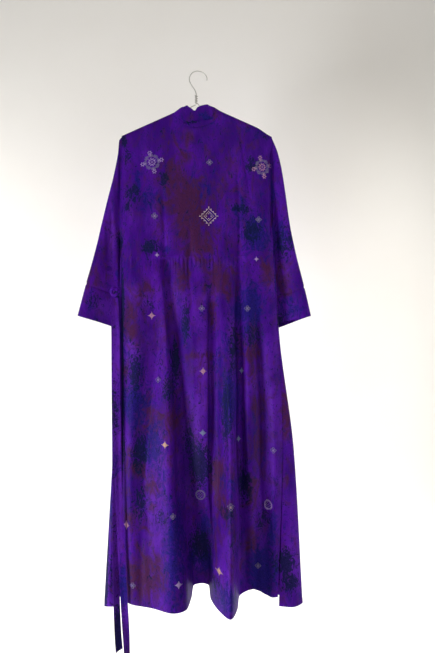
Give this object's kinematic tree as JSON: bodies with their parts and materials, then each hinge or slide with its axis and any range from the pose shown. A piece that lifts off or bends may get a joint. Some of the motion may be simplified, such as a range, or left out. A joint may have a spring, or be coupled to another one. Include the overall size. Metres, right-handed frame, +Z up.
{
  "type": "kimono robe on a wire hanger",
  "caption": "Long silk wrap robe of kimono cut with wide banded sleeves, gathered skirt, folded neckband and belt, hung on a round-hook wire hanger",
  "frame": {"origin": "the point of the hook's inner curve that rests on a rail", "axes": "+Z up, +Y out of the robe's front, +X towards the wearer's right"},
  "size_m": [0.642, 0.1502, 1.6384],
  "materials": {
    "silk": "plain-woven violet silk with mottled dark green, navy and rust dye and small woven motifs, soft sheen",
    "steel_wire": "galvanised drawn steel wire, dull grey",
    "motif_thread": "pale lilac, grey, pink and old-gold silk stitches, raised slightly"
  },
  "bodies": {
    "root": {"back_bodice": "silk", "back_skirt": "silk", "front_bodice_left": "silk", "front_bodice_right": "silk", "front_skirt_left": "silk", "front_skirt_right": "silk", "neckband": "silk", "sleeve_left": "silk", "sleeve_right": "silk", "cuff_left": "silk", "cuff_right": "silk", "tie_knot": "silk", "tie_short": "silk", "tie_long": "silk", "hanger_hook": "steel_wire", "hanger_frame": "steel_wire", "hanger_twist": "steel_wire"}
  },
  "joints": []
}
